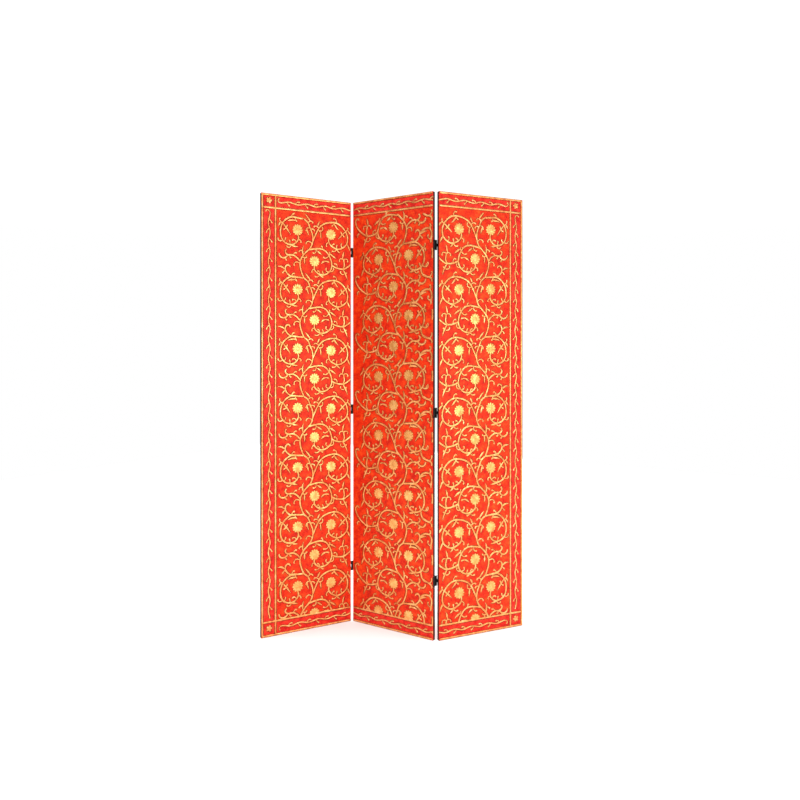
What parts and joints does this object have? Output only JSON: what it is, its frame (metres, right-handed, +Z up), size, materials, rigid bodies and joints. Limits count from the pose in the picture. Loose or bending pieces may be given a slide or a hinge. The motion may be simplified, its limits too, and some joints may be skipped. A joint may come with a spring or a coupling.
{
  "type": "folding screen",
  "caption": "Free-standing folding room screen: rigid decorated panels with black edges on double-acting pin hinges, standing in a zigzag.",
  "frame": {"origin": "middle of the underside of the middle panel, half way across its width and its thickness, on the floor", "axes": "+Z up the panels, +X along the middle panel towards its right edge seen from the front, -Y out of the middle panel's front"},
  "size_m": [0.8364, 0.7167, 1.8],
  "materials": {
    "painted_facing": "satin orange-red paint, mottled",
    "gold_relief": "gold paint on raised scrollwork and border lines",
    "black_edge": "satin black paint on pine",
    "bare_pine": "planed",
    "beech_dowel": "turned",
    "hinge_black": "satin black",
    "pin_steel": "blackened",
    "screw_black": "satin black"
  },
  "bodies": {
    "middle_panel": {"middle_panel_front_facing": "painted_facing", "middle_panel_back_facing": "painted_facing", "middle_panel_left_stile": "black_edge", "middle_panel_right_stile": "black_edge", "middle_panel_top_rail": "black_edge", "middle_panel_upper_rail": "bare_pine", "middle_panel_lower_rail": "bare_pine", "middle_panel_bottom_rail": "black_edge", "middle_panel_dowels": "beech_dowel", "left_fold_upper_inner_leaf": "hinge_black", "right_fold_upper_inner_leaf": "hinge_black", "left_fold_middle_inner_leaf": "hinge_black", "right_fold_middle_inner_leaf": "hinge_black", "left_fold_lower_inner_leaf": "hinge_black", "right_fold_lower_inner_leaf": "hinge_black", "right_fold_front_pins": "pin_steel", "left_fold_inner_screws": "screw_black", "right_fold_inner_screws": "screw_black"},
    "left_hinge_links": {"left_fold_upper_link": "hinge_black", "left_fold_middle_link": "hinge_black", "left_fold_lower_link": "hinge_black", "left_fold_back_pins": "pin_steel"},
    "left_panel": {"left_panel_front_facing": "painted_facing", "left_panel_back_facing": "painted_facing", "left_panel_left_stile": "black_edge", "left_panel_right_stile": "black_edge", "left_panel_top_rail": "black_edge", "left_panel_upper_rail": "bare_pine", "left_panel_lower_rail": "bare_pine", "left_panel_bottom_rail": "black_edge", "left_panel_dowels": "beech_dowel", "left_fold_upper_outer_leaf": "hinge_black", "left_fold_middle_outer_leaf": "hinge_black", "left_fold_lower_outer_leaf": "hinge_black", "left_fold_front_pins": "pin_steel", "left_fold_outer_screws": "screw_black"},
    "right_hinge_links": {"right_fold_upper_link": "hinge_black", "right_fold_middle_link": "hinge_black", "right_fold_lower_link": "hinge_black", "right_fold_back_pins": "pin_steel"},
    "right_panel": {"right_panel_front_facing": "painted_facing", "right_panel_back_facing": "painted_facing", "right_panel_left_stile": "black_edge", "right_panel_right_stile": "black_edge", "right_panel_top_rail": "black_edge", "right_panel_upper_rail": "bare_pine", "right_panel_lower_rail": "bare_pine", "right_panel_bottom_rail": "black_edge", "right_panel_dowels": "beech_dowel", "right_fold_upper_outer_leaf": "hinge_black", "right_fold_middle_outer_leaf": "hinge_black", "right_fold_lower_outer_leaf": "hinge_black", "right_fold_outer_screws": "screw_black"}
  },
  "joints": [
    {"name": "left_fold_back_pin", "type": "hinge", "parent": "middle_panel", "child": "left_hinge_links", "pos_m": [-0.2045, 0.0085, 0.9115], "axis": [0, 0, 1], "range_deg": [-90, 0]},
    {"name": "left_fold_front_pin", "type": "hinge", "parent": "left_hinge_links", "child": "left_panel", "pos_m": [-0.2045, -0.0085, 0.9115], "axis": [0, 0, 1], "range_deg": [-62.5, 117.5]},
    {"name": "right_fold_front_pin", "type": "hinge", "parent": "middle_panel", "child": "right_hinge_links", "pos_m": [0.2045, -0.0085, 0.9115], "axis": [0, 0, 1], "range_deg": [-90, 0]},
    {"name": "right_fold_back_pin", "type": "hinge", "parent": "right_hinge_links", "child": "right_panel", "pos_m": [0.2045, 0.0085, 0.9115], "axis": [0, 0, 1], "range_deg": [-58, 122]}
  ]
}
